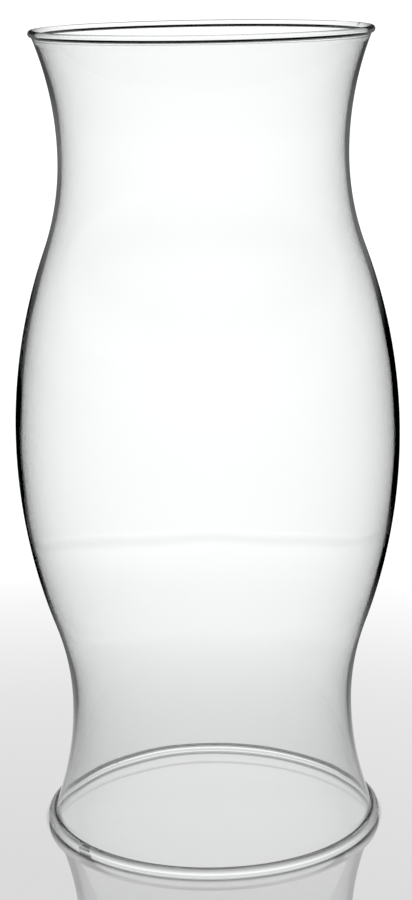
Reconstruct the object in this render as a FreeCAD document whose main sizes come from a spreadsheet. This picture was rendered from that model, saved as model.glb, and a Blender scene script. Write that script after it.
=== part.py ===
import FreeCAD, Part

import math
import os

import Sketcher

# Hurricane lamp globe: one blown glass chimney, open at both ends. From the table up it has a flared foot,
# a waist, a belly, a neck and a bell-shaped top. Both rims are fire-polished into a small roll of the same
# glass, so the globe is a single solid.
#
# The frame is in millimetres with +Z up. The origin is on the centre line, where the foot meets the table.

# Driving sizes
SIZES = {
    # heights, one after the other from the table to the top rim
    "foot_rise": 48.4,  # table to the narrowest ring of the waist
    "lower_reach": 104.8,  # waist to the widest ring of the belly
    "upper_reach": 105.9,  # belly to the narrowest ring of the neck
    "top_rise": 45.9,  # neck to the top of the upper roll
    # widths of the outer face
    "neck_diameter": 107.1,
    "belly_swell": 19.0,  # how far the belly stands out beyond the neck
    "waist_diameter": 108.4,
    "top_flare": 9.4,  # how far the upper roll stands out beyond the neck
    "foot_flare": 10.9,  # how far the foot roll stands out beyond the waist
    # each run between two rings is two arcs, and this is the hollow arc's share of their radii
    "neck_curve_share": 0.325,
    "waist_curve_share": 0.316,
    # glass
    "wall": 1.9,  # thickness from the waist to the neck
    "top_lip": 0.7,  # what the wall thins to at the upper roll
    "foot_lip": 1.1,  # what the wall thins to at the foot roll
    "top_roll_stand": 1.9,  # how much thicker than its lip the upper roll is
    "foot_roll_stand": 3.2,  # how much thicker than its lip the foot roll is
    "top_roll_depth": 0.5,  # how far the middle of the upper roll lies behind the outer face
    "foot_roll_depth": 0.25,  # how far the middle of the foot roll lies behind the outer face
    "foot_land": 0.8,  # width of the ground flat ring that the globe stands on
}

# Sizes that follow from the driving ones. A run between two rings is an S of two tangent arcs, and its
# swing is the sum of their radii. A flare's two faces bend a little differently, so that the wall between
# them thins evenly from the throat to the lip.
FORMULAS = {
    "neck_radius": "neck_diameter / 2",
    "belly_radius": "neck_radius + belly_swell",
    "waist_radius": "waist_diameter / 2",
    "lower_swell": "belly_radius - waist_radius",
    "belly_height": "foot_rise + lower_reach",
    "neck_height": "belly_height + upper_reach",
    "upper_swing": "(belly_swell ^ 2 + upper_reach ^ 2) / (2 * belly_swell)",
    "lower_swing": "(lower_swell ^ 2 + lower_reach ^ 2) / (2 * lower_swell)",
    "neck_curve": "neck_curve_share * upper_swing",
    "waist_curve": "waist_curve_share * lower_swing",
    "top_roll": "(top_lip + top_roll_stand) / 2",
    "top_roll_place": "neck_radius + top_flare - top_roll",
    "top_roll_height": "neck_height + top_rise - top_roll",
    "top_out": "top_roll_place - neck_radius",
    "top_up": "top_roll_height - neck_height",
    "top_front": "top_lip - top_roll_depth",
    "top_in": "top_out + wall",
    "top_outer_bend": "(top_out ^ 2 + top_up ^ 2 - top_roll_depth ^ 2) / (2 * (top_out + top_roll_depth))",
    "top_inner_bend": "(top_in ^ 2 + top_up ^ 2 - top_front ^ 2) / (2 * (top_in - top_front))",
    "foot_roll": "(foot_lip + foot_roll_stand) / 2",
    "foot_roll_place": "waist_radius + foot_flare - foot_roll",
    "foot_roll_height": "sqrt(foot_roll ^ 2 - (foot_land / 2) ^ 2)",
    "foot_out": "foot_roll_place - waist_radius",
    "foot_up": "foot_rise - foot_roll_height",
    "foot_front": "foot_lip - foot_roll_depth",
    "foot_in": "foot_out + wall",
    "foot_outer_bend": (
        "(foot_out ^ 2 + foot_up ^ 2 - foot_roll_depth ^ 2) / (2 * (foot_out + foot_roll_depth))"
    ),
    "foot_inner_bend": "(foot_in ^ 2 + foot_up ^ 2 - foot_front ^ 2) / (2 * (foot_in - foot_front))",
}

# The points of a sketch arc or line
START, END, CENTRE = 1, 2, 3
ORIGIN = (-1, START)
TABLE_LINE = -1
HALF_TURN = math.pi


def make_sheet(doc):
    """The spreadsheet that every size is read from."""
    sheet = doc.addObject("Spreadsheet::Sheet", "Sizes")
    cells = [(name, str(value)) for name, value in SIZES.items()]
    cells += [(name, "=" + formula) for name, formula in FORMULAS.items()]
    for row, (name, content) in enumerate(cells, start=1):
        sheet.set(f"A{row}", name)
        sheet.set(f"B{row}", content)
        sheet.setAlias(f"B{row}", name)
    doc.recompute()
    return sheet


def flare_turn(bend, gap, rise, roll):
    """The angle that a flare's face turns through from its throat to the crease where it runs into the roll.

    The gap is how far the middle of the roll lies beyond the face, seen from the centre of the bend.
    """
    span = bend + gap
    return math.asin(rise / span) - math.acos((span**2 + bend**2 - roll**2) / (2 * span * bend))


def add_arc(sketch, place, height, radius, start, end):
    """An arc round a centre, counterclockwise from one angle to the other."""
    circle = Part.Circle(FreeCAD.Vector(place, height, 0), FreeCAD.Vector(0, 0, 1), radius)
    return sketch.addGeometry(Part.ArcOfCircle(circle, start, end), False)


def hold(sketch, kind, *parts):
    """A constraint without a size."""
    sketch.addConstraint(Sketcher.Constraint(kind, *parts))


def drive(sketch, sheet, label, cell, kind, *parts):
    """A constraint whose size is a cell of the sheet."""
    number = sketch.addConstraint(Sketcher.Constraint(kind, *parts, sheet.get(cell)))
    sketch.renameConstraint(number, label)
    sketch.setExpression(f"Constraints.{label}", f"Sizes.{cell}")


def add_face(sketch, sheet, inset, foot_bend, foot_turn, top_bend, top_turn):
    """One face of the wall, from the foot roll up to the top roll, as six arcs that meet smoothly."""
    lower_turn = math.asin(sheet.lower_reach / sheet.lower_swing)
    upper_turn = math.asin(sheet.upper_reach / sheet.upper_swing)
    lower_belly = sheet.lower_swing - sheet.waist_curve
    upper_belly = sheet.upper_swing - sheet.neck_curve

    def hollow(throat, height, bend, below, above):
        place = throat - inset + bend
        return add_arc(sketch, place, height, bend, HALF_TURN - above, HALF_TURN + below)

    def swollen(radius, below, above):
        return add_arc(sketch, sheet.belly_radius - radius, sheet.belly_height, radius - inset, -below, above)

    face = {
        "foot": hollow(sheet.waist_radius, sheet.foot_rise, foot_bend, foot_turn, 0),
        "waist": hollow(sheet.waist_radius, sheet.foot_rise, sheet.waist_curve + inset, 0, lower_turn),
        "lower_belly": swollen(lower_belly, lower_turn, 0),
        "upper_belly": swollen(upper_belly, 0, upper_turn),
        "neck": hollow(sheet.neck_radius, sheet.neck_height, sheet.neck_curve + inset, upper_turn, 0),
        "top": hollow(sheet.neck_radius, sheet.neck_height, top_bend, 0, top_turn),
    }
    # a hollow arc starts at its upper end, and a swollen one at its lower end
    hold(sketch, "Tangent", face["foot"], START, face["waist"], END)
    hold(sketch, "Tangent", face["waist"], START, face["lower_belly"], START)
    hold(sketch, "Tangent", face["lower_belly"], END, face["upper_belly"], START)
    hold(sketch, "Tangent", face["upper_belly"], END, face["neck"], END)
    hold(sketch, "Tangent", face["neck"], START, face["top"], END)
    # the belly is widest where its arcs meet
    hold(sketch, "Horizontal", face["lower_belly"], CENTRE, face["lower_belly"], END)
    return face


def place_outer_face(sketch, sheet, outer):
    """Set the outer face's three rings and the radii of its hollow arcs."""
    rings = {
        "waist": (outer["waist"], END, "waist_radius", "foot_rise"),
        "belly": (outer["lower_belly"], END, "belly_radius", "belly_height"),
        "neck": (outer["neck"], START, "neck_radius", "neck_height"),
    }
    for name, (arc, end, radius, height) in rings.items():
        drive(sketch, sheet, name + "_out", radius, "DistanceX", *ORIGIN, arc, end)
        drive(sketch, sheet, name + "_up", height, "DistanceY", *ORIGIN, arc, end)
    for name, end in (("waist", END), ("neck", START)):
        hold(sketch, "Horizontal", outer[name], CENTRE, outer[name], end)
        drive(sketch, sheet, name + "_bend", name + "_curve", "Radius", outer[name])
    for name in ("foot", "top"):
        drive(sketch, sheet, name + "_outside", name + "_outer_bend", "Radius", outer[name])


def place_inner_face(sketch, sheet, inner, outer):
    """Keep the inner face one wall inside the outer one, round the same centres, and thin it at both lips."""
    for name, end in (("waist", END), ("lower_belly", END), ("neck", START)):
        hold(sketch, "Horizontal", inner[name], end, outer[name], end)
        drive(sketch, sheet, name + "_wall", "wall", "DistanceX", inner[name], end, outer[name], end)
    for name in ("waist", "neck"):
        hold(sketch, "Coincident", inner[name], CENTRE, outer[name], CENTRE)
    for name in ("foot", "top"):
        drive(sketch, sheet, name + "_inside", name + "_inner_bend", "Radius", inner[name])


def crease_angle(sketch, arc, end, place, height):
    """Where a face runs into a roll, as an angle round the middle of the roll."""
    crease = sketch.getPoint(arc, end)
    return math.atan2(crease.y - height, crease.x - place)


def add_top_roll(sketch, sheet, inner, outer):
    """The upper roll: one arc from the outer face, over the top and down to the inner face."""
    place, height, radius = sheet.top_roll_place, sheet.top_roll_height, sheet.top_roll
    first = crease_angle(sketch, outer["top"], START, place, height)
    last = crease_angle(sketch, inner["top"], START, place, height) % (2 * HALF_TURN)
    roll = add_arc(sketch, place, height, radius, first, last)
    hold(sketch, "Coincident", outer["top"], START, roll, START)
    hold(sketch, "Coincident", inner["top"], START, roll, END)
    drive(sketch, sheet, "top_roll_size", "top_roll", "Radius", roll)
    drive(sketch, sheet, "top_roll_out", "top_roll_place", "DistanceX", *ORIGIN, roll, CENTRE)
    drive(sketch, sheet, "top_roll_up", "top_roll_height", "DistanceY", *ORIGIN, roll, CENTRE)


def add_foot_roll(sketch, sheet, inner, outer):
    """The foot roll: an arc on each side of the flat ring that the globe stands on."""
    place, height, radius = sheet.foot_roll_place, sheet.foot_roll_height, sheet.foot_roll
    first = crease_angle(sketch, inner["foot"], END, place, height)
    last = crease_angle(sketch, outer["foot"], END, place, height)
    half_land = sheet.foot_land / 2
    land_angle = math.atan2(height, half_land)
    inside = add_arc(sketch, place, height, radius, first, HALF_TURN + land_angle)
    land_ends = [FreeCAD.Vector(place + side * half_land, 0, 0) for side in (-1, 1)]
    land = sketch.addGeometry(Part.LineSegment(*land_ends), False)
    outside = add_arc(sketch, place, height, radius, -land_angle, last)
    hold(sketch, "Coincident", inner["foot"], END, inside, START)
    hold(sketch, "Coincident", inside, END, land, START)
    hold(sketch, "Coincident", land, END, outside, START)
    hold(sketch, "Coincident", outside, END, outer["foot"], END)
    hold(sketch, "Coincident", inside, CENTRE, outside, CENTRE)
    hold(sketch, "Equal", inside, outside)
    hold(sketch, "Horizontal", land)
    hold(sketch, "PointOnObject", land, START, TABLE_LINE)
    drive(sketch, sheet, "foot_roll_size", "foot_roll", "Radius", inside)
    drive(sketch, sheet, "foot_roll_out", "foot_roll_place", "DistanceX", *ORIGIN, inside, CENTRE)
    drive(sketch, sheet, "land_width", "foot_land", "DistanceX", land, START, land, END)


def make_section(body, sheet):
    """The glass cut through on one side of the centre line, fully constrained."""
    sketch = body.newObject("Sketcher::SketchObject", "Section")
    upright = [plane for plane in body.Origin.OriginFeatures if plane.Role == "XZ_Plane"]
    sketch.AttachmentSupport = [(upright[0], "")]
    sketch.MapMode = "FlatFace"
    foot, top = (sheet.foot_up, sheet.foot_roll), (sheet.top_up, sheet.top_roll)
    outer = add_face(
        sketch,
        sheet,
        0,
        sheet.foot_outer_bend,
        flare_turn(sheet.foot_outer_bend, sheet.foot_roll_depth, *foot),
        sheet.top_outer_bend,
        flare_turn(sheet.top_outer_bend, sheet.top_roll_depth, *top),
    )
    inner = add_face(
        sketch,
        sheet,
        sheet.wall,
        sheet.foot_inner_bend,
        flare_turn(sheet.foot_inner_bend, -sheet.foot_front, *foot),
        sheet.top_inner_bend,
        flare_turn(sheet.top_inner_bend, -sheet.top_front, *top),
    )
    place_outer_face(sketch, sheet, outer)
    place_inner_face(sketch, sheet, inner, outer)
    add_top_roll(sketch, sheet, inner, outer)
    add_foot_roll(sketch, sheet, inner, outer)
    return sketch


def make_globe(doc, sheet):
    """The globe: its section turned once round the centre line."""
    body = doc.addObject("PartDesign::Body", "glass_globe")
    body.Label = "glass_globe"
    body.Placement = FreeCAD.Placement()
    section = make_section(body, sheet)
    blown = body.newObject("PartDesign::Revolution", "Blown")
    blown.Profile = section
    blown.ReferenceAxis = (section, ["V_Axis"])
    blown.Angle = 360
    body.Tip = blown
    return body, section


def check(doc, body, section):
    """Stop if anything failed to build, or if the section isn't held by its sizes alone."""
    failed = [item.Name for item in doc.Objects if "Invalid" in item.State or "Error" in item.State]
    if failed:
        raise RuntimeError("failed to build: " + ", ".join(failed))
    if section.solve() != 0 or not section.FullyConstrained:
        raise RuntimeError("the section is not fully constrained")
    if body.Shape.isNull() or not body.Shape.isValid() or len(body.Shape.Solids) != 1:
        raise RuntimeError("the globe is not one valid solid")


def main():
    doc = FreeCAD.newDocument("HurricaneLampGlobe")
    sheet = make_sheet(doc)
    body, section = make_globe(doc, sheet)
    doc.recompute()
    check(doc, body, section)
    os.makedirs("parts", exist_ok=True)
    body.Shape.exportStep(os.path.join("parts", body.Label + ".step"))
    box = body.Shape.optimalBoundingBox(False, False)
    print(f"glass_globe: {box.XLength:.2f} x {box.YLength:.2f} x {box.ZLength:.2f} mm")
    print(f"volume {body.Shape.Volume:.1f} mm3, lowest point at {box.ZMin:.4f} mm")


main()
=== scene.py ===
import math

import bpy
from bpy.props import FloatProperty, FloatVectorProperty, IntProperty, PointerProperty
from mathutils import Matrix, Vector


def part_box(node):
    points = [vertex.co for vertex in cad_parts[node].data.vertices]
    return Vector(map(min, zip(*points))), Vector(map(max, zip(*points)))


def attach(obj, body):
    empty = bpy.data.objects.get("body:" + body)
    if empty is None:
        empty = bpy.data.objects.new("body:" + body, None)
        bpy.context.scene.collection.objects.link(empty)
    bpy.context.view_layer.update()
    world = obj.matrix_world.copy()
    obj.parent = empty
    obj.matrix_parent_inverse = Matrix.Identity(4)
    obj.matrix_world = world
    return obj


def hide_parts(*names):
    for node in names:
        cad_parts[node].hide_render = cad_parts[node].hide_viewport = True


# Hurricane lamp globe: a blown glass chimney with rolled rims, standing on a pale table in soft light.
# Lengths are in metres, in the CAD frame: +Z up, the origin on the table under the centre line.

bl_info = {
    "name": "Hurricane lamp globe",
    "version": (1, 0, 0),
    "blender": (4, 5, 0),
    "location": "View3D > Sidebar > Lamp globe",
    "description": "Blows a glass lamp globe round its CAD frame and stages it on a pale table",
    "category": "Object",
}

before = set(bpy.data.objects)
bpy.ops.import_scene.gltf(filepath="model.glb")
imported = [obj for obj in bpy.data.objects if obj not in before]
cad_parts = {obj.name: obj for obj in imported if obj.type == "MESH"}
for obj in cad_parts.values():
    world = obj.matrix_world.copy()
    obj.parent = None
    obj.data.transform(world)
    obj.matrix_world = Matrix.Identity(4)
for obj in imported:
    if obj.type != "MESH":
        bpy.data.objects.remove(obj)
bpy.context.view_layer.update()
CAD_LOW, CAD_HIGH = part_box("glass_globe")
FULL_TURN = 2 * math.pi
HALF_TURN = math.pi


# Small flaws left by blowing and wear. Each is a short streak: its reach from the centre line, the turns in
# degrees and the heights of its two ends, half its width, and how dark it looks
FLAWS = {
    "long seed, above": (0.0636, (219, 222), (0.0041, 0.0043), 0.0011, 1),
    "long seed, below": (0.0646, (218, 223), (0.0031, 0.0034), 0.0009, 1),
    "spot on the foot": (0.0651, (219, 224), (0.0014, 0.0016), 0.0018, 1),
    "scratch on the foot": (0.0606, (188.5, 194.5), (0.0062, 0.0124), 0.0012, 0.95),
    "seed in the rim": (0.0628, (17, 18.5), (0.3029, 0.3031), 0.0009, 0.97),
    "scratch on the rim": (0.0628, (10, 14), (0.3042, 0.3042), 0.0004, 0.5),
    "long seed in the wall": (0.0582, (-21.9, -20), (0.2901, 0.2920), 0.0005, 0.5),
    "chip at the back": (0.0612, (130.6, 131.4), (0.0025, 0.0033), 0.0005, 0.8),
    "speck in the wall": (0.0584, (232, 232.6), (0.0160, 0.0162), 0.0004, 0.4),
}


class GlobeShape(bpy.types.PropertyGroup):
    """Sizes of the globe, from the table up."""

    foot_rise: FloatProperty(
        name="Foot rise", description="Table to the narrowest ring of the waist", default=0.0484, unit="LENGTH"
    )
    lower_reach: FloatProperty(
        name="Lower reach", description="Waist to the widest ring of the belly", default=0.1048, unit="LENGTH"
    )
    upper_reach: FloatProperty(
        name="Upper reach", description="Belly to the narrowest ring of the neck", default=0.1059, unit="LENGTH"
    )
    height: FloatProperty(
        name="Height", description="Table to the top of the upper roll", default=CAD_HIGH.z, unit="LENGTH"
    )
    neck_diameter: FloatProperty(
        name="Neck", description="Outside of the narrowest ring of the neck", default=0.1071, unit="LENGTH"
    )
    belly_diameter: FloatProperty(
        name="Belly", description="Outside of the widest ring of the belly", default=0.1451, unit="LENGTH"
    )
    waist_diameter: FloatProperty(
        name="Waist", description="Outside of the narrowest ring of the waist", default=0.1084, unit="LENGTH"
    )
    top_diameter: FloatProperty(
        name="Top", description="Outside of the upper roll", default=0.1259, unit="LENGTH"
    )
    foot_diameter: FloatProperty(
        name="Foot", description="Outside of the foot roll", default=0.1302, unit="LENGTH"
    )
    neck_curve_share: FloatProperty(
        name="Neck curve", description="The hollow arc's share of the radii from belly to neck", default=0.325
    )
    waist_curve_share: FloatProperty(
        name="Waist curve", description="The hollow arc's share of the radii from waist to belly", default=0.316
    )
    wall: FloatProperty(
        name="Wall", description="Thickness of the glass from waist to neck", default=0.0017, unit="LENGTH"
    )
    top_lip: FloatProperty(
        name="Top lip", description="What the wall thins to at the upper roll", default=0.0005, unit="LENGTH"
    )
    foot_lip: FloatProperty(
        name="Foot lip", description="What the wall thins to at the foot roll", default=0.0011, unit="LENGTH"
    )
    top_roll: FloatProperty(
        name="Top roll", description="Thickness of the upper roll", default=0.0026, unit="LENGTH"
    )
    foot_roll: FloatProperty(
        name="Foot roll", description="Thickness of the foot roll", default=0.0043, unit="LENGTH"
    )
    top_roll_depth: FloatProperty(
        name="Top roll depth", description="Outer face to the middle of the upper roll", default=0.0005,
        unit="LENGTH",
    )
    foot_roll_depth: FloatProperty(
        name="Foot roll depth", description="Outer face to the middle of the foot roll", default=0.00025,
        unit="LENGTH",
    )
    foot_land: FloatProperty(
        name="Land", description="Width of the flat ring under the foot", default=0.0008, unit="LENGTH"
    )
    top_fillets: FloatVectorProperty(
        name="Top fillets", description="How far the upper roll's creases are melted smooth, outside and inside",
        default=(0.0003, 0.00025), size=2, unit="LENGTH",
    )
    foot_fillets: FloatVectorProperty(
        name="Foot fillets", description="How far the foot roll's creases are melted smooth, outside and inside",
        default=(0.0008, 0.0004), size=2, unit="LENGTH",
    )
    ring_gap: FloatProperty(
        name="Ring gap", description="Spacing of the mesh's rings up the wall", default=0.003, unit="LENGTH"
    )
    roll_step: FloatProperty(
        name="Roll step", description="Turn between two rings of a roll", default=math.radians(6), unit="ROTATION"
    )
    turns: IntProperty(name="Turns", description="Steps of the mesh round the centre line", default=240)
    belly_extra: FloatProperty(
        name="Belly extra", description="How much thicker the wall runs round the belly", default=0.0006,
        unit="LENGTH",
    )
    belly_spread: FloatProperty(
        name="Belly spread", description="Half the height over which the belly's wall runs thicker",
        default=0.085, unit="LENGTH",
    )
    wave_height: FloatProperty(
        name="Waves", description="How far the inner face wanders from true", default=0.0003, unit="LENGTH"
    )
    wave_length: FloatProperty(
        name="Wave length", description="Size of one wave of the inner face", default=0.05, unit="LENGTH"
    )


class GlassFinish(bpy.types.PropertyGroup):
    """Colour and surface of the glass, with painted shade where the wall is seen edge on and along the foot's creases.
    """

    tint: FloatVectorProperty(
        name="Tint", description="Colour of the clear glass", default=(0.985, 0.99, 0.99), subtype="COLOR"
    )
    # Painted shade: the glass's colour darkens where the wall is seen edge on, far past what the longer path through
    # clear glass gives.
    painted_edge_shade: FloatVectorProperty(
        name="Edge tint", description="Colour where the wall is seen edge on, through more glass",
        default=(0.85, 0.86, 0.86), subtype="COLOR",
    )
    smudge_tint: FloatVectorProperty(
        name="Smudge tint", description="Colour where the glass was handled", default=(0.95, 0.955, 0.955),
        subtype="COLOR",
    )
    smudge_roughness: FloatProperty(
        name="Smudge", description="Roughness where the glass was handled", default=0.05
    )
    # Painted shade: a dark line is painted into the glass's colour along both creases of the foot roll.
    crease_shade_width: FloatProperty(
        name="Crease width", description="Half the width of the dark line where the foot roll meets the wall",
        default=0.0006, unit="LENGTH",
    )
    crease_shade_depth: FloatProperty(
        name="Crease depth", description="How dark that line looks on each face", default=0.85
    )
    striae_height: FloatProperty(
        name="Striae", description="Height of the faint ripples left by blowing", default=0.00002, unit="LENGTH"
    )


class StudioStage(bpy.types.PropertyGroup):
    """The pale table, the light round it and the camera."""

    table_radius: FloatProperty(
        name="Table", description="Radius of the pale table top", default=0.417, unit="LENGTH"
    )
    shade_centre: FloatVectorProperty(
        name="Shade centre", description="What the table brightens away from", default=(-0.21, -0.453, 0), unit="LENGTH"
    )
    shade_reach: FloatVectorProperty(
        name="Shade reach", description="How far from that centre the table starts to brighten, and is white",
        default=(0.42, 0.82), size=2, unit="LENGTH",
    )
    shade_depth: FloatProperty(
        name="Shade depth", description="Brightness of the table where it looks darkest", default=0.69
    )
    edge_reach: FloatProperty(
        name="Edge line", description="Half the width of the faint line along the table's edge", default=0.018,
        unit="LENGTH",
    )
    edge_depth: FloatProperty(
        name="Edge line depth", description="How much darker that line looks through the glass", default=0.09
    )
    foot_ring: FloatProperty(
        name="Foot ring", description="Radius of the ring where the globe meets the table", default=0.063,
        unit="LENGTH",
    )
    shadow_shift: FloatVectorProperty(
        name="Shadow shift", description="How far the light pushes the foot's contact shadow",
        default=(0, 0.0009, 0), unit="LENGTH",
    )
    shadow_reach: FloatVectorProperty(
        name="Shadow reach", description="Where the contact shadow starts to lift, and where it ends",
        default=(0.001, 0.004), size=2, unit="LENGTH",
    )
    shadow_depth: FloatProperty(
        name="Shadow depth", description="Share of the light that is left in the contact shadow", default=0.03
    )
    glow_shift: FloatVectorProperty(
        name="Glow shift", description="How far the foot roll throws the light that it gathers",
        default=(0, 0.005, 0), unit="LENGTH",
    )
    glow_reach: FloatProperty(
        name="Glow reach", description="Half the width of the gathered light", default=0.0014, unit="LENGTH"
    )
    glow_light: FloatProperty(name="Glow", description="Strength of the gathered light", default=0.5)
    table_gloss: FloatProperty(
        name="Gloss", description="Share of the light that the table mirrors", default=0.47
    )
    mirror_light: FloatProperty(
        name="Mirrored light", description="Brightness of the backdrop in the table's mirror image", default=0.72
    )
    tent_light: FloatProperty(
        name="Backdrop", description="Brightness of the white backdrop, which the camera sees as overexposed",
        default=1.15,
    )
    through_light: FloatVectorProperty(
        name="Through light", description="How much brighter the table looks through the glass, near and far",
        default=(1.25, 1.06), size=2,
    )
    aside_light: FloatProperty(
        name="Aside light", description="Share of the table's light that a roll alone sends to the eye",
        default=0.35,
    )
    above_light: FloatProperty(
        name="Light above", description="Brightness of what both walls together show above the backdrop",
        default=0.6,
    )
    double_share: FloatProperty(
        name="Double share", description="Share of the table's light in a mirror image behind both walls",
        default=0.5,
    )
    turned_light: FloatProperty(
        name="Turned light", description="Brightness of what the rays see that turn back inside the wall",
        default=0.2,
    )
    card_radius: FloatProperty(
        name="Card distance", description="Centre line to the ring of dim cards that the edges of the glass mirror",
        default=0.45, unit="LENGTH",
    )
    card_heights: FloatVectorProperty(
        name="Card heights", description="Where the dim cards start, are full, begin to end and end",
        default=(0.15, 0.19, 0.3, 0.36), size=4, unit="LENGTH",
    )
    card_light: FloatProperty(name="Card light", description="Brightness of the dim cards", default=0.13)
    eye_distance: FloatProperty(
        name="Eye distance", description="Camera to the centre line", default=0.78887, unit="LENGTH"
    )
    eye_height: FloatProperty(
        name="Eye height", description="Camera above the table", default=0.33981, unit="LENGTH"
    )
    eye_tilt: FloatProperty(
        name="Tilt", description="How far the camera looks down", default=0.2395, unit="ROTATION"
    )
    eye_pan: FloatProperty(
        name="Pan", description="How far the camera looks to the right", default=-0.001, unit="ROTATION"
    )
    eye_roll: FloatProperty(
        name="Roll", description="How far the camera leans to the right", default=0.0165, unit="ROTATION"
    )
    lens: FloatProperty(name="Lens", description="Focal length in millimetres", default=85.53)


# Shape of the section


def flare(out, rise, roll, gap):
    """Radius of one face of a flare, and the angle it turns through from the throat to the roll's crease.

    The gap is how far the middle of the roll lies beyond the face, seen from the centre of the bend.
    """
    bend = (out**2 + rise**2 - gap**2) / (2 * (out + gap))
    span = bend + gap
    return bend, math.asin(rise / span) - math.acos((span**2 + bend**2 - roll**2) / (2 * span * bend))


def swing(swell, reach, share):
    """Radii of the hollow and the swollen arc of an S-curve, and the angle that both turn through."""
    radii = (swell**2 + reach**2) / (2 * swell)
    return share * radii, (1 - share) * radii, math.asin(reach / radii)


class Section:
    """The glass cut through on one side of the centre line."""

    def __init__(self, shape):
        self.shape = shape
        self.neck, self.waist = shape.neck_diameter / 2, shape.waist_diameter / 2
        self.belly = shape.belly_diameter / 2
        self.belly_height = shape.foot_rise + shape.lower_reach
        self.neck_height = self.belly_height + shape.upper_reach
        self.top_roll, self.foot_roll = shape.top_roll / 2, shape.foot_roll / 2
        self.top_place = Vector((shape.top_diameter / 2 - self.top_roll, 0, shape.height - self.top_roll))
        self.foot_height = math.sqrt(self.foot_roll**2 - (shape.foot_land / 2) ** 2)
        self.foot_place = Vector((shape.foot_diameter / 2 - self.foot_roll, 0, self.foot_height))
        top_out, top_rise = self.top_place.x - self.neck, self.top_place.z - self.neck_height
        foot_out, foot_rise = self.foot_place.x - self.waist, shape.foot_rise - self.foot_place.z
        top_front = shape.top_lip - shape.top_roll_depth
        foot_front = shape.foot_lip - shape.foot_roll_depth
        self.top_flares = (
            flare(top_out, top_rise, self.top_roll, shape.top_roll_depth),
            flare(top_out + shape.wall, top_rise, self.top_roll, -top_front),
        )
        self.foot_flares = (
            flare(foot_out, foot_rise, self.foot_roll, shape.foot_roll_depth),
            flare(foot_out + shape.wall, foot_rise, self.foot_roll, -foot_front),
        )
        self.lower = swing(self.belly - self.waist, shape.lower_reach, shape.waist_curve_share)
        self.upper = swing(self.belly - self.neck, shape.upper_reach, shape.neck_curve_share)
        self.face_points = (self.face(0), self.face(1))

    def arc(self, centre, radius, first, last, gap):
        """Points along an arc, both ends included."""
        count = max(2, math.ceil(abs(last - first) * radius / gap))
        turns = [first + (last - first) * i / count for i in range(count + 1)]
        return [centre + Vector((radius * math.cos(turn), 0, radius * math.sin(turn))) for turn in turns]

    def face(self, side):
        """One face of the wall, from the foot roll up to the top roll: side 0 is the outer one, 1 the inner."""
        low, high, gap = self.shape.foot_rise, self.neck_height, self.shape.ring_gap
        inset = side * self.shape.wall

        def hollow(throat, height, bend, below, above):
            centre = Vector((throat - inset + bend, 0, height))
            return self.arc(centre, bend, HALF_TURN + below, HALF_TURN - above, gap)

        def swollen(radius, below, above):
            centre = Vector((self.belly - radius, 0, self.belly_height))
            return self.arc(centre, radius - inset, -below, above, gap)

        runs = [
            hollow(self.waist, low, self.foot_flares[side][0], self.foot_flares[side][1], 0),
            hollow(self.waist, low, self.lower[0] + inset, 0, self.lower[2]),
            swollen(self.lower[1], self.lower[2], 0),
            swollen(self.upper[1], 0, self.upper[2]),
            hollow(self.neck, high, self.upper[0] + inset, self.upper[2], 0),
            hollow(self.neck, high, self.top_flares[side][0], 0, self.top_flares[side][1]),
        ]
        return [runs[0][0]] + [point for run in runs for point in run[1:]]

    def roll(self, place, radius, first, last):
        """Part of a rolled rim."""
        return self.arc(place, radius, first, last, radius * self.shape.roll_step)

    def outline(self):
        """The whole closed outline: up the outer face, over the top, down the inner face and round the foot."""
        outer, inner = self.face_points

        def turn_to(point, place):
            return math.atan2(point.z - place.z, point.x - place.x)

        land_turn = math.atan2(self.foot_height, self.shape.foot_land / 2)
        over_top = self.roll(
            self.top_place, self.top_roll,
            turn_to(outer[-1], self.top_place), turn_to(inner[-1], self.top_place) % FULL_TURN,
        )
        under_foot = self.roll(
            self.foot_place, self.foot_roll, turn_to(inner[0], self.foot_place), HALF_TURN + land_turn
        )
        round_foot = self.roll(
            self.foot_place, self.foot_roll, -land_turn, turn_to(outer[0], self.foot_place)
        )
        return outer + over_top[1:] + inner[::-1][1:] + under_foot[1:] + round_foot

    def wall_middle(self, height):
        """Distance from the centre line to the middle of the wall, for telling the two faces apart."""
        middle = [self.reach(self.face_points[side], height) for side in (0, 1)]
        return sum(middle) / 2

    def reach(self, face, height):
        """Distance from the centre line to a face at one height, or to its end beyond it."""
        if height <= face[0].z:
            return face[0].x
        for below, above in zip(face, face[1:]):
            if height <= above.z:
                share = (height - below.z) / (above.z - below.z)
                return below.x + share * (above.x - below.x)
        return face[-1].x


# Modelling helpers


def deselect_everything():
    """Leave nothing selected and object mode on."""
    if bpy.context.object and bpy.context.object.mode != "OBJECT":
        bpy.ops.object.mode_set(mode="OBJECT")
    bpy.ops.object.select_all(action="DESELECT")


def only(piece):
    """Select one object alone and make it active."""
    deselect_everything()
    piece.select_set(True)
    bpy.context.view_layer.objects.active = piece


def select_vertices(piece, wanted):
    """In object mode, select the vertices that a test picks, and nothing else."""
    bpy.ops.object.mode_set(mode="OBJECT")
    mesh = piece.data
    for edge in mesh.edges:
        edge.select = False
    for face in mesh.polygons:
        face.select = False
    for vertex in mesh.vertices:
        vertex.select = wanted(vertex.co)


# Materials


def add_node(tree, kind, place, **settings):
    """A node with its settings, and plain values for the inputs whose names are given with a leading capital."""
    node = tree.nodes.new(kind)
    node.location = place
    for name, value in settings.items():
        if name[0].isupper():
            node.inputs[name.replace("_", " ")].default_value = value
        else:
            setattr(node, name, value)
    return node


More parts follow.
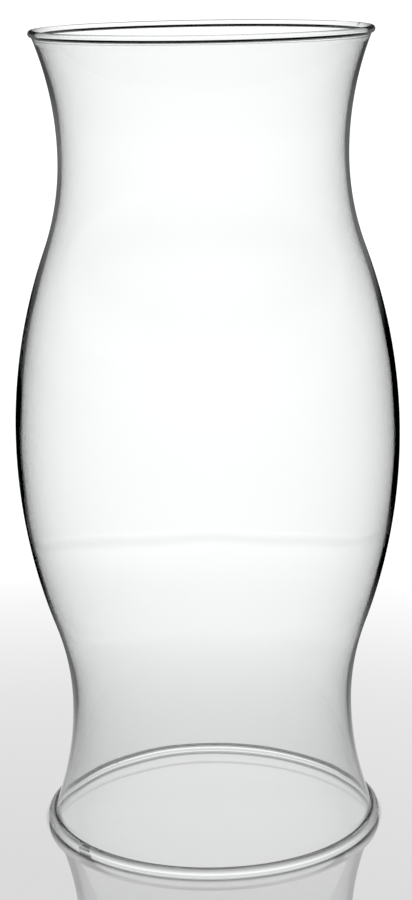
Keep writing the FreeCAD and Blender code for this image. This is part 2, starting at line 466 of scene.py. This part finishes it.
def streak_group():
    """A node group whose mask is on round a straight streak between two points."""
    group = bpy.data.node_groups.new("glass_streak", "ShaderNodeTree")
    for name, kind in (("Place", "Vector"), ("Start", "Vector"), ("End", "Vector"), ("Width", "Float")):
        group.interface.new_socket(name=name, in_out="INPUT", socket_type="NodeSocket" + kind)
    group.interface.new_socket(name="Mask", in_out="OUTPUT", socket_type="NodeSocketFloat")
    ends = add_node(group, "NodeGroupInput", (-900, 0))

    def vector(place, operation, *sources):
        node = add_node(group, "ShaderNodeVectorMath", place, operation=operation)
        for socket, source in zip(node.inputs, sources):
            group.links.new(source, socket)
        return node

    along = vector((-700, 200), "SUBTRACT", ends.outputs["End"], ends.outputs["Start"]).outputs["Vector"]
    away = vector((-700, 0), "SUBTRACT", ends.outputs["Place"], ends.outputs["Start"]).outputs["Vector"]
    ahead = vector((-500, 200), "DOT_PRODUCT", away, along).outputs["Value"]
    length = vector((-500, 0), "DOT_PRODUCT", along, along).outputs["Value"]
    share = add_node(group, "ShaderNodeMath", (-300, 100), operation="DIVIDE", use_clamp=True)
    group.links.new(ahead, share.inputs[0])
    group.links.new(length, share.inputs[1])
    foot = vector((-100, 100), "SCALE", along)
    group.links.new(share.outputs["Value"], foot.inputs["Scale"])
    gap = vector((100, 0), "DISTANCE", away, foot.outputs["Vector"]).outputs["Value"]
    mask = add_node(group, "ShaderNodeMapRange", (300, 0), interpolation_type="SMOOTHSTEP", To_Min=1, To_Max=0)
    out = add_node(group, "NodeGroupOutput", (500, 0))
    group.links.new(gap, mask.inputs["Value"])
    group.links.new(ends.outputs["Width"], mask.inputs["From Max"])
    group.links.new(mask.outputs["Result"], out.inputs["Mask"])
    return group


def add_flaws(tree, place, clear):
    """Darken a colour along the small flaws."""
    group = streak_group()
    for row, (name, (reach, turns, heights, width, depth)) in enumerate(FLAWS.items()):
        streak = add_node(tree, "ShaderNodeGroup", (-900, 600 + 200 * row), node_tree=group, label=name)
        for socket, turn, height in zip(("Start", "End"), turns, heights):
            angle = math.radians(turn)
            streak.inputs[socket].default_value = (reach * math.cos(angle), reach * math.sin(angle), height)
        streak.inputs["Width"].default_value = width
        strength = add_node(tree, "ShaderNodeMath", (-700, 600 + 200 * row), operation="MULTIPLY")
        strength.inputs[1].default_value = depth
        darker = add_node(tree, "ShaderNodeMix", (-500 + 150 * row, 600), data_type="RGBA")
        darker.inputs[7].default_value = (0, 0, 0, 1)
        tree.links.new(place, streak.inputs["Place"])
        tree.links.new(streak.outputs["Mask"], strength.inputs[0])
        tree.links.new(strength.outputs["Value"], darker.inputs["Factor"])
        tree.links.new(clear, darker.inputs[6])
        clear = darker.outputs[2]
    return clear


def add_painted_crease_shade(tree, place, clear, creases, finish):
    """Paint shade into a colour: darken it along rings round the centre line, where a roll's melted edge meets the
    wall.
    """
    flat = add_node(tree, "ShaderNodeVectorMath", (-1500, -500), operation="MULTIPLY")
    flat.inputs[1].default_value = (1, 1, 0)
    reach = add_node(tree, "ShaderNodeVectorMath", (-1300, -500), operation="LENGTH")
    parts = add_node(tree, "ShaderNodeSeparateXYZ", (-1500, -700))
    spot = add_node(tree, "ShaderNodeCombineXYZ", (-1100, -600))
    tree.links.new(place, flat.inputs[0])
    tree.links.new(flat.outputs["Vector"], reach.inputs[0])
    tree.links.new(place, parts.inputs["Vector"])
    tree.links.new(reach.outputs["Value"], spot.inputs["X"])
    tree.links.new(parts.outputs["Z"], spot.inputs["Z"])
    for row, crease in enumerate(creases):
        gap = distance_from(tree, (-900, -600 - 200 * row), spot.outputs["Vector"], crease)
        mask = ramp(tree, (-500, -600 - 200 * row), gap, 0, finish.crease_shade_width, finish.crease_shade_depth, 0)
        darker = add_node(tree, "ShaderNodeMix", (-300, -600 - 200 * row), data_type="RGBA")
        darker.inputs[7].default_value = (0, 0, 0, 1)
        tree.links.new(mask, darker.inputs["Factor"])
        tree.links.new(clear, darker.inputs[6])
        clear = darker.outputs[2]
    return clear


def clear_glass(finish, creases):
    """Clear blown glass: faint ripples, duller patches where it was handled, and painted shade where the wall is seen
    edge on and along the creases at the foot.
    """
    material = bpy.data.materials.new("clear_blown_glass")
    material.use_nodes = True
    tree = material.node_tree
    shader = tree.nodes["Principled BSDF"]
    shader.inputs["IOR"].default_value = 1.5
    shader.inputs["Transmission Weight"].default_value = 1
    place = add_node(tree, "ShaderNodeTexCoord", (-1200, 0))
    patches = add_node(tree, "ShaderNodeTexNoise", (-900, 200), Scale=18, Detail=4, Roughness=0.6)
    worn = add_node(tree, "ShaderNodeMapRange", (-650, 200), interpolation_type="SMOOTHSTEP")
    worn.inputs["From Min"].default_value = 0.66
    worn.inputs["From Max"].default_value = 0.82
    # Painted shade: Layer Weight darkens the glass's colour towards the painted edge shade where the wall is seen edge
    # on.
    slant = add_node(tree, "ShaderNodeLayerWeight", (-850, 450), Blend=0.5)
    depth = add_node(tree, "ShaderNodeMix", (-650, 450), data_type="RGBA")
    depth.inputs[6].default_value = (*finish.tint, 1)
    depth.inputs[7].default_value = (*finish.painted_edge_shade, 1)
    colour = add_node(tree, "ShaderNodeMix", (-350, 300), data_type="RGBA")
    colour.inputs[7].default_value = (*finish.smudge_tint, 1)
    dull = add_node(tree, "ShaderNodeMath", (-350, 50), operation="MULTIPLY")
    dull.inputs[1].default_value = finish.smudge_roughness
    stretch = add_node(tree, "ShaderNodeMapping", (-900, -200), Scale=(1, 1, 0.25))
    ripples = add_node(tree, "ShaderNodeTexNoise", (-650, -200), Scale=60, Detail=2, Roughness=0.4)
    bump = add_node(tree, "ShaderNodeBump", (-350, -200), Strength=1, Distance=finish.striae_height)
    link = tree.links.new
    link(place.outputs["Object"], patches.inputs["Vector"])
    link(patches.outputs["Fac"], worn.inputs["Value"])
    link(slant.outputs["Facing"], depth.inputs["Factor"])
    link(depth.outputs[2], colour.inputs[6])
    link(worn.outputs["Result"], colour.inputs["Factor"])
    link(worn.outputs["Result"], dull.inputs[0])
    # Painted shade along the foot roll's creases.
    creased = add_painted_crease_shade(tree, place.outputs["Object"], colour.outputs[2], creases, finish)
    link(add_flaws(tree, place.outputs["Object"], creased), shader.inputs["Base Color"])
    link(dull.outputs["Value"], shader.inputs["Roughness"])
    link(place.outputs["Object"], stretch.inputs["Vector"])
    link(stretch.outputs["Vector"], ripples.inputs["Vector"])
    link(ripples.outputs["Fac"], bump.inputs["Height"])
    link(bump.outputs["Normal"], shader.inputs["Normal"])
    return material


def sort_rays(tree, place):
    """Masks of the rays: mirrored at all, past the first face of the glass, not yet across both walls, sent on
    by a smooth face such as the glass and not the faintly dull table, and turned back before both walls."""
    path = add_node(tree, "ShaderNodeLightPath", place)
    x, y = place
    masks = {"smooth": path.outputs["Is Singular Ray"]}
    for row, (name, output, operation, limit) in enumerate((
        ("mirrored", "Glossy Depth", "GREATER_THAN", 0.5),
        ("entered", "Transmission Depth", "GREATER_THAN", 0.5),
        ("early", "Transmission Depth", "LESS_THAN", 3.5),
    )):
        node = add_node(tree, "ShaderNodeMath", (x + 200, y - 170 * row), operation=operation)
        node.inputs[1].default_value = limit
        tree.links.new(path.outputs[output], node.inputs[0])
        masks[name] = node.outputs["Value"]
    masks["turned"] = multiply(tree, (x + 400, y), masks["mirrored"], masks["early"])
    return masks


def ramp(tree, place, source, low, high, first, last, kind="SMOOTHSTEP"):
    """A change from one value to another while a source goes from low to high."""
    node = add_node(tree, "ShaderNodeMapRange", place, interpolation_type=kind)
    for name, value in (("From Min", low), ("From Max", high), ("To Min", first), ("To Max", last)):
        node.inputs[name].default_value = value
    tree.links.new(source, node.inputs["Value"])
    return node.outputs["Result"]


def choose(tree, place, mask, usual, other):
    """The usual value, or the other one where the mask is on; each is a plain number or another node's output."""
    node = add_node(tree, "ShaderNodeMix", place)
    for socket, value in ((node.inputs[2], usual), (node.inputs[3], other)):
        if isinstance(value, (int, float)):
            socket.default_value = value
        else:
            tree.links.new(value, socket)
    tree.links.new(mask, node.inputs["Factor"])
    return node.outputs[0]


def combine(tree, place, operation, first, second):
    """Two outputs put through one operation."""
    node = add_node(tree, "ShaderNodeMath", place, operation=operation)
    tree.links.new(first, node.inputs[0])
    tree.links.new(second, node.inputs[1])
    return node.outputs["Value"]


def multiply(tree, place, first, second):
    """The product of two outputs."""
    return combine(tree, place, "MULTIPLY", first, second)


def add(tree, place, first, second):
    """The sum of two outputs."""
    return combine(tree, place, "ADD", first, second)


def distance_from(tree, place, source, centre):
    """Distance of each point of the surface from a centre."""
    x, y = place
    shift = add_node(tree, "ShaderNodeVectorMath", place, operation="SUBTRACT")
    shift.inputs[1].default_value = centre
    length = add_node(tree, "ShaderNodeVectorMath", (x + 180, y), operation="LENGTH")
    tree.links.new(source, shift.inputs[0])
    tree.links.new(shift.outputs["Vector"], length.inputs[0])
    return length.outputs["Value"]


def distance_from_ring(tree, place, source, centre, radius):
    """Distance of each point of the surface from a ring round a centre."""
    x, y = place
    past = add_node(tree, "ShaderNodeMath", (x + 360, y), operation="SUBTRACT")
    past.inputs[1].default_value = radius
    size = add_node(tree, "ShaderNodeMath", (x + 540, y), operation="ABSOLUTE")
    tree.links.new(distance_from(tree, place, source, centre), past.inputs[0])
    tree.links.new(past.outputs["Value"], size.inputs[0])
    return size.outputs["Value"]


def pale_table(stage):
    """A smooth pale table top that fades into the light behind it, with a faint mirror gloss."""
    material = bpy.data.materials.new("pale_table")
    material.use_nodes = True
    tree = material.node_tree
    tree.nodes.clear()
    link = tree.links.new
    place = add_node(tree, "ShaderNodeTexCoord", (-2100, 0)).outputs["Object"]
    from_shade = distance_from(tree, (-1900, 400), place, stage.shade_centre)
    reach = distance_from(tree, (-1900, 150), place, (0, 0, 0))
    slope = ramp(tree, (-900, 500), from_shade, *stage.shade_reach, stage.shade_depth, 1, "LINEAR")
    rim_glow = ramp(tree, (-900, 350), reach, 0.28, stage.table_radius, 0, 0.12)
    foot_glow = ramp(tree, (-900, 200), reach, 0.045, 0.064, 0.06, 0)
    plain = add(tree, (-600, 400), slope, add(tree, (-750, 300), rim_glow, foot_glow))
    near_foot = distance_from_ring(tree, (-1900, -100), place, stage.shadow_shift, stage.foot_ring)
    shadow = ramp(tree, (-900, 50), near_foot, *stage.shadow_reach, stage.shadow_depth, 1)
    near_glow = distance_from_ring(tree, (-1900, -350), place, stage.glow_shift, stage.foot_ring)
    gathered = ramp(tree, (-900, -100), near_glow, 0, stage.glow_reach, stage.glow_light, 0)
    shade = add(tree, (-300, 200), multiply(tree, (-450, 300), plain, shadow), gathered)
    near = ramp(tree, (-900, -300), reach, 0.07, 0.2, 1, 0)
    near_turned = ramp(tree, (-1100, -450), reach, 0.14, 0.26, stage.turned_light / 5, 0)
    near_edge = distance_from_ring(tree, (-1900, -600), place, (0, 0, 0), stage.table_radius - stage.edge_reach)
    edge = ramp(tree, (-1200, -900), near_edge, 0, stage.edge_reach, 1 - stage.edge_depth, 1)
    brighter = ramp(tree, (-1200, -600), reach, 0.13, 0.38, *stage.through_light)
    made_up = multiply(tree, (-1050, -600), brighter, edge)
    past_foot = ramp(tree, (-1200, -750), reach, 0.065, 0.075, 0, 1)
    aside = choose(tree, (-900, -600), past_foot, made_up, stage.aside_light)
    gloss = ramp(tree, (-900, -750), reach, 0.1, 0.3, stage.table_gloss, 0)
    rays = sort_rays(tree, (-1600, -900))
    fading = ramp(tree, (-1100, -350), reach, 0.1, 0.45, stage.double_share, 1)
    double = choose(tree, (-900, -450), rays["mirrored"], 1, fading)
    crossed = multiply(tree, (-750, -450), made_up, double)
    through = choose(tree, (-650, -300), rays["early"], crossed, aside)
    clear = choose(tree, (-450, -300), rays["entered"], 1, through)
    seen = choose(tree, (-450, -500), rays["entered"], near, near_turned)
    glow = multiply(tree, (-50, 0), shade, choose(tree, (-250, -300), rays["turned"], clear, seen))
    lamp = add_node(tree, "ShaderNodeEmission", (150, 0))
    mirror = add_node(tree, "ShaderNodeBsdfGlossy", (150, -200), Roughness=0.02)
    mirror.inputs["Color"].default_value = (1, 1, 1, 1)
    both = add_node(tree, "ShaderNodeMixShader", (350, 0))
    out = add_node(tree, "ShaderNodeOutputMaterial", (550, 0))
    link(glow, lamp.inputs["Strength"])
    link(gloss, both.inputs["Fac"])
    link(lamp.outputs["Emission"], both.inputs[1])
    link(mirror.outputs["BSDF"], both.inputs[2])
    link(both.outputs["Shader"], out.inputs["Surface"])
    return material


def dim_card(stage):
    """A card that only the rays see that the glass turned aside, dimmer towards its lower and upper edge."""
    material = bpy.data.materials.new("dim_card")
    material.use_nodes = True
    tree = material.node_tree
    tree.nodes.clear()
    place = add_node(tree, "ShaderNodeTexCoord", (-900, 200))
    parts = add_node(tree, "ShaderNodeSeparateXYZ", (-700, 200))
    tree.links.new(place.outputs["Object"], parts.inputs["Vector"])
    low, full, ending, high = stage.card_heights
    rising = ramp(tree, (-500, 300), parts.outputs["Z"], low, full, 0, stage.card_light)
    falling = ramp(tree, (-500, 50), parts.outputs["Z"], ending, high, 1, 0)
    rays = sort_rays(tree, (-900, -300))
    lamp = add_node(tree, "ShaderNodeEmission", (0, 100))
    clear = add_node(tree, "ShaderNodeBsdfTransparent", (0, -50))
    both = add_node(tree, "ShaderNodeMixShader", (200, 0))
    out = add_node(tree, "ShaderNodeOutputMaterial", (400, 0))
    tree.links.new(multiply(tree, (-250, 200), rising, falling), lamp.inputs["Strength"])
    tree.links.new(multiply(tree, (-50, -250), rays["turned"], rays["smooth"]), both.inputs["Fac"])
    tree.links.new(clear.outputs["BSDF"], both.inputs[1])
    tree.links.new(lamp.outputs["Emission"], both.inputs[2])
    tree.links.new(both.outputs["Shader"], out.inputs["Surface"])
    return material


def light_tent(stage):
    """The light round the table: a white backdrop all round, and a dark room above it."""
    world = bpy.data.worlds.new("light_tent")
    bpy.context.scene.world = world
    world.use_nodes = True
    tree = world.node_tree
    back = tree.nodes["Background"]
    back.inputs["Color"].default_value = (1, 1, 1, 1)
    place = add_node(tree, "ShaderNodeTexCoord", (-1500, 0))
    parts = add_node(tree, "ShaderNodeSeparateXYZ", (-1300, 0))
    tree.links.new(place.outputs["Generated"], parts.inputs["Vector"])
    height = parts.outputs["Z"]
    sine = {angle: math.sin(math.radians(angle)) for angle in (-8, -5, -2, 3, 6, 7, 12, 15, 45)}
    one_wall = ramp(tree, (-900, 500), height, sine[7], sine[12], stage.tent_light, 0)
    both_walls = ramp(tree, (-900, 300), height, sine[3], sine[12], stage.tent_light, stage.above_light)
    from_table = ramp(tree, (-900, 150), height, sine[-8], sine[6], 0.8, stage.above_light)
    outside = ramp(tree, (-900, 0), height, sine[15], sine[45], 0, 1)
    rising = ramp(tree, (-900, -150), height, sine[-5], sine[-2], 0, stage.turned_light / 2)
    falling = ramp(tree, (-900, -300), height, sine[7], sine[12], 1, 0)
    dim = multiply(tree, (-650, -200), rising, falling)
    rays = sort_rays(tree, (-1500, -700))
    crossed = choose(tree, (-650, 300), rays["mirrored"], both_walls, from_table)
    backdrop = choose(tree, (-450, 400), rays["early"], crossed, one_wall)
    through = choose(tree, (-250, 200), rays["entered"], stage.tent_light, backdrop)
    mirror = choose(tree, (-650, 0), rays["smooth"], stage.mirror_light, outside)
    back_again = choose(tree, (-450, 0), rays["entered"], mirror, dim)
    tree.links.new(choose(tree, (-50, 0), rays["turned"], through, back_again), back.inputs["Strength"])
    return world


# Pieces


def draw_section(outline):
    """A closed wire along the section, drawn by extruding one vertex from point to point."""
    bpy.ops.mesh.primitive_plane_add(size=0.001, location=outline[0])
    piece = bpy.context.object
    bpy.ops.object.transform_apply(location=True, rotation=True, scale=True)
    bpy.ops.object.mode_set(mode="EDIT")
    bpy.ops.mesh.merge(type="CENTER")
    for here, there in zip(outline, outline[1:]):
        bpy.ops.mesh.extrude_region_move(TRANSFORM_OT_translate={"value": there - here})
    bpy.ops.mesh.select_all(action="SELECT")
    bpy.ops.mesh.remove_doubles(threshold=1e-6)
    return piece


def turn_section(turns):
    """Spin the wire once round the centre line into a closed shell."""
    bpy.ops.mesh.select_all(action="SELECT")
    bpy.ops.mesh.spin(steps=turns, angle=FULL_TURN, center=(0, 0, 0), axis=(0, 0, 1))
    bpy.ops.mesh.select_all(action="SELECT")
    bpy.ops.mesh.remove_doubles(threshold=1e-6)
    bpy.ops.mesh.normals_make_consistent(inside=False)


def soften_crease(piece, crease, width):
    """Round the ring where a roll meets one face of the wall, as a flame leaves it."""
    slack = 1e-5

    def on_crease(place):
        return abs(place.z - crease.z) < slack and abs(math.hypot(place.x, place.y) - crease.x) < slack

    select_vertices(piece, on_crease)
    bpy.ops.object.mode_set(mode="EDIT")
    bpy.ops.mesh.select_mode(type="VERT")
    bpy.ops.mesh.select_mode(type="EDGE")
    bpy.ops.mesh.bevel(offset=width, segments=4, affect="EDGES", clamp_overlap=False)
    bpy.ops.mesh.select_mode(type="VERT")


def lobe(distance, spread):
    """A smooth bump: 1 in the middle, 0 at the spread and beyond."""
    return 0.5 + 0.5 * math.cos(HALF_TURN * min(1, abs(distance) / spread))


def ripple_inner_face(piece, section, shape):
    """Let the inner face wander a little from true and stand in at the belly, so the wall is never quite even."""
    group = piece.vertex_groups.new(name="inner_face")
    belly = piece.vertex_groups.new(name="belly_face")
    fade = 0.02
    middles = {}
    for vertex in piece.data.vertices:
        height = round(vertex.co.z, 6)
        if height not in middles:
            middles[height] = section.wall_middle(height)
        if math.hypot(vertex.co.x, vertex.co.y) < middles[height]:
            edge = min(height, shape.height - height)
            group.add([vertex.index], min(1, edge / fade), "REPLACE")
            belly.add([vertex.index], lobe(height - section.belly_height, shape.belly_spread), "REPLACE")
    texture = bpy.data.textures.new("uneven_blow", "CLOUDS")
    texture.noise_scale = shape.wave_length
    texture.noise_depth = 1
    wander = piece.modifiers.new("uneven_blow", "DISPLACE")
    wander.texture = texture
    wander.texture_coords = "LOCAL"
    wander.vertex_group = group.name
    wander.strength = shape.wave_height
    wander.mid_level = 0.5
    bpy.ops.object.modifier_apply(modifier=wander.name)
    stand = piece.modifiers.new("thick_belly", "DISPLACE")
    stand.vertex_group = belly.name
    stand.strength = shape.belly_extra
    stand.mid_level = 0
    bpy.ops.object.modifier_apply(modifier=stand.name)


class GLOBE_OT_blow_glass(bpy.types.Operator):
    """Blow the globe: draw its section, turn it, soften its creases and let the inner face wander"""

    bl_idname = "lamp_globe.blow_glass"
    bl_label = "Blow the glass"

    def execute(self, context):
        shape = context.scene.globe_shape
        section = Section(shape)
        outline = section.outline()
        deselect_everything()
        globe = draw_section(outline)
        globe.name = "blown_globe"
        turn_section(shape.turns)
        for side, face in enumerate(section.face_points):
            soften_crease(globe, face[0], shape.foot_fillets[side])
            soften_crease(globe, face[-1], shape.top_fillets[side])
        bpy.ops.object.mode_set(mode="OBJECT")
        only(globe)
        ripple_inner_face(globe, section, shape)
        bpy.ops.object.shade_smooth()
        # The rings along which shade is painted into the glass's colour.
        creases = [face[0] for face in section.face_points]
        globe.data.materials.append(clear_glass(context.scene.glass_finish, creases))
        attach(globe, "root")
        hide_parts("glass_globe")
        if globe.dimensions.z > shape.height * 1.001:
            raise RuntimeError("the globe came out taller than its frame")
        return {"FINISHED"}


class GLOBE_OT_set_stage(bpy.types.Operator):
    """Set the pale table, the light round it and the camera at the photograph's angle"""

    bl_idname = "lamp_globe.set_stage"
    bl_label = "Set the stage"

    def execute(self, context):
        scene = context.scene
        stage = scene.studio_stage
        deselect_everything()
        bpy.ops.mesh.primitive_circle_add(
            vertices=128, radius=stage.table_radius, fill_type="NGON", location=(0, 0, 0)
        )
        table = context.object
        table.name = "table_top"
        table.data.materials.append(pale_table(stage))
        low, high = stage.card_heights[0], stage.card_heights[3]
        bpy.ops.mesh.primitive_cylinder_add(
            vertices=128, radius=stage.card_radius, depth=high - low, end_fill_type="NOTHING",
            location=(0, 0, (low + high) / 2),
        )
        bpy.ops.object.transform_apply(location=True, rotation=False, scale=False)
        cards = context.object
        cards.name = "dim_cards"
        cards.data.materials.append(dim_card(stage))
        light_tent(stage)
        bpy.ops.object.camera_add(location=(0, -stage.eye_distance, stage.eye_height))
        camera = context.object
        aim = Matrix.Rotation(-stage.eye_pan, 4, "Z") @ Matrix.Rotation(math.pi / 2 - stage.eye_tilt, 4, "X")
        camera.matrix_world = (
            Matrix.Translation(camera.location) @ aim @ Matrix.Rotation(-stage.eye_roll, 4, "Z")
        )
        camera.data.lens = stage.lens
        scene.camera = camera
        scene.view_settings.view_transform = "Standard"
        scene.cycles.max_bounces = 64
        scene.cycles.glossy_bounces = 48
        scene.cycles.transmission_bounces = 24
        return {"FINISHED"}


class GLOBE_PT_panel(bpy.types.Panel):
    """The steps that make the globe and its stage"""

    bl_label = "Lamp globe"
    bl_idname = "GLOBE_PT_panel"
    bl_space_type = "VIEW_3D"
    bl_region_type = "UI"
    bl_category = "Lamp globe"

    def draw(self, context):
        for step in (GLOBE_OT_blow_glass, GLOBE_OT_set_stage):
            self.layout.operator(step.bl_idname)


CLASSES = (GlobeShape, GlassFinish, StudioStage, GLOBE_OT_blow_glass, GLOBE_OT_set_stage, GLOBE_PT_panel)


def register():
    for kind in CLASSES:
        bpy.utils.register_class(kind)
    bpy.types.Scene.globe_shape = PointerProperty(type=GlobeShape)
    bpy.types.Scene.glass_finish = PointerProperty(type=GlassFinish)
    bpy.types.Scene.studio_stage = PointerProperty(type=StudioStage)


def unregister():
    del bpy.types.Scene.studio_stage
    del bpy.types.Scene.glass_finish
    del bpy.types.Scene.globe_shape
    for kind in reversed(CLASSES):
        bpy.utils.unregister_class(kind)


def main():
    register()
    bpy.ops.lamp_globe.blow_glass()
    bpy.ops.lamp_globe.set_stage()


if __name__ == "__main__":
    main()
